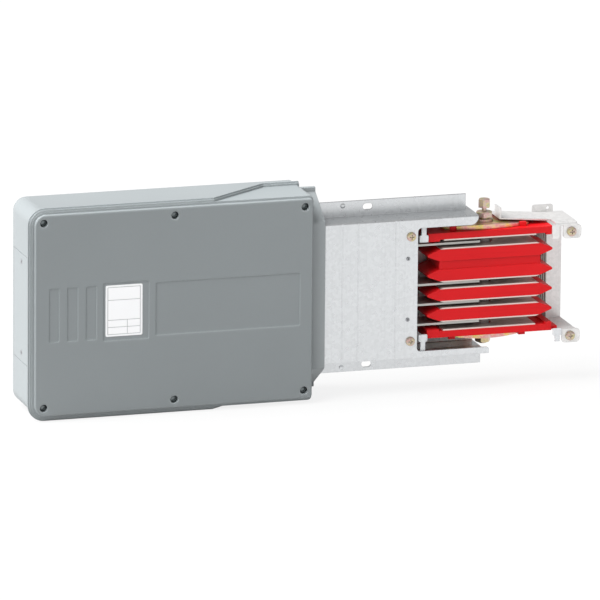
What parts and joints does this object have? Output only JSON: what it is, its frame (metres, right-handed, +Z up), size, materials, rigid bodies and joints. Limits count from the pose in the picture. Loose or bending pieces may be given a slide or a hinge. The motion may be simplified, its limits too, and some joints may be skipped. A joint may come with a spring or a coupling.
{
  "type": "busway feed unit",
  "caption": "End feed unit for a busway: moulded cable box with screwed cover, short sheet-steel trunking stub and a bolted joint pack of insulated contact plates.",
  "frame": {"origin": "centre of the busway joint, on the joint bolt's axis and the trunking's centre line", "axes": "+X along the busway, out of the joint end; +Y away from the cover; +Z up along the joint bolt"},
  "size_m": [0.7846, 0.104, 0.2932],
  "materials": {
    "base_plastic": "moulded, fine grain",
    "cover_plastic": "moulded, satin",
    "seal": "foam rubber",
    "zinc_steel": "bright zinc",
    "galvanised": "galvanised sheet",
    "bracket_steel": "galvanised sheet",
    "yellow_screw": "yellow passivated zinc",
    "yellow_zinc": "yellow passivated zinc",
    "dark_plastic": "moulded",
    "bar_metal": "drawn bar",
    "red_plastic": "moulded, satin",
    "contact_metal": "tinned",
    "white_plastic": "moulded"
  },
  "bodies": {
    "casing": {"box_base": "base_plastic", "cover_gasket": "seal", "gland_plate": "base_plastic", "gland_gasket": "seal", "gland_screws": "zinc_steel", "shell_front": "galvanised", "shell_rear": "galvanised", "shell_screws": "yellow_screw", "shell_rivets": "galvanised", "bar_comb_joint": "dark_plastic", "bar_comb_box": "dark_plastic", "busbar_1": "bar_metal", "busbar_2": "bar_metal", "busbar_3": "bar_metal", "busbar_4": "bar_metal", "terminal_bolts": "zinc_steel", "terminal_washers": "zinc_steel", "terminal_nuts": "zinc_steel", "earth_plate": "bar_metal", "earth_stud": "zinc_steel", "earth_nut": "zinc_steel", "end_insulator_bottom": "red_plastic", "contact_bottom": "contact_metal", "spring_bottom": "yellow_zinc", "bolt_tube": "dark_plastic", "bolt_nut": "yellow_zinc", "joint_bracket": "bracket_steel", "bracket_rivets": "galvanised", "retaining_clips": "white_plastic"},
    "cover": {"box_cover": "cover_plastic", "cover_screws": "zinc_steel"},
    "clamp": {"end_insulator_top": "red_plastic", "contact_top": "contact_metal", "spring_top": "yellow_zinc", "bolt_washer": "yellow_zinc"},
    "bolt": {"joint_bolt": "yellow_zinc"},
    "pack_ab": {"insulator_a": "red_plastic", "insulator_b": "red_plastic", "blank_filler": "red_plastic", "contact_a_upper": "contact_metal", "contact_b_lower": "contact_metal"},
    "pack_c": {"insulator_c": "red_plastic", "contact_c_upper": "contact_metal", "contact_c_lower": "contact_metal"},
    "pack_d": {"insulator_d": "red_plastic", "contact_d_upper": "contact_metal", "contact_d_lower": "contact_metal"},
    "lug_screw_upper": {"lug_screw_top": "yellow_screw"},
    "lug_screw_lower": {"lug_screw_bottom": "yellow_screw"}
  },
  "joints": [
    {"name": "cover_lift", "type": "slide", "parent": "casing", "child": "cover", "axis": [0, -1, 0], "range_m": [0, 0.12]},
    {"name": "clamp_down", "type": "slide", "parent": "casing", "child": "clamp", "axis": [0, 0, -1], "range_m": [0, 0.004]},
    {"name": "bolt_turn", "type": "hinge", "parent": "clamp", "child": "bolt", "pos_m": [0, 0, 0], "axis": [0, 0, -1], "range_deg": [0, 824]},
    {"name": "pack_ab_down", "type": "slide", "parent": "casing", "child": "pack_ab", "axis": [0, 0, -1], "range_m": [0, 0.0015]},
    {"name": "pack_c_down", "type": "slide", "parent": "casing", "child": "pack_c", "axis": [0, 0, -1], "range_m": [0, 0.001]},
    {"name": "pack_d_down", "type": "slide", "parent": "casing", "child": "pack_d", "axis": [0, 0, -1], "range_m": [0, 0.0005]},
    {"name": "lug_screw_upper_turn", "type": "hinge", "parent": "casing", "child": "lug_screw_upper", "pos_m": [0.115, -0.03, 0.0645], "axis": [0, 1, 0], "continuous": true},
    {"name": "lug_screw_lower_turn", "type": "hinge", "parent": "casing", "child": "lug_screw_lower", "pos_m": [0.115, -0.03, -0.0815], "axis": [0, 1, 0], "continuous": true}
  ],
  "couplings": [
    {"joint": "bolt_turn", "follows": "clamp_down", "rad_per_m": 3590.4},
    {"joint": "pack_ab_down", "follows": "clamp_down", "ratio": 0.375},
    {"joint": "pack_c_down", "follows": "clamp_down", "ratio": 0.25},
    {"joint": "pack_d_down", "follows": "clamp_down", "ratio": 0.125}
  ]
}
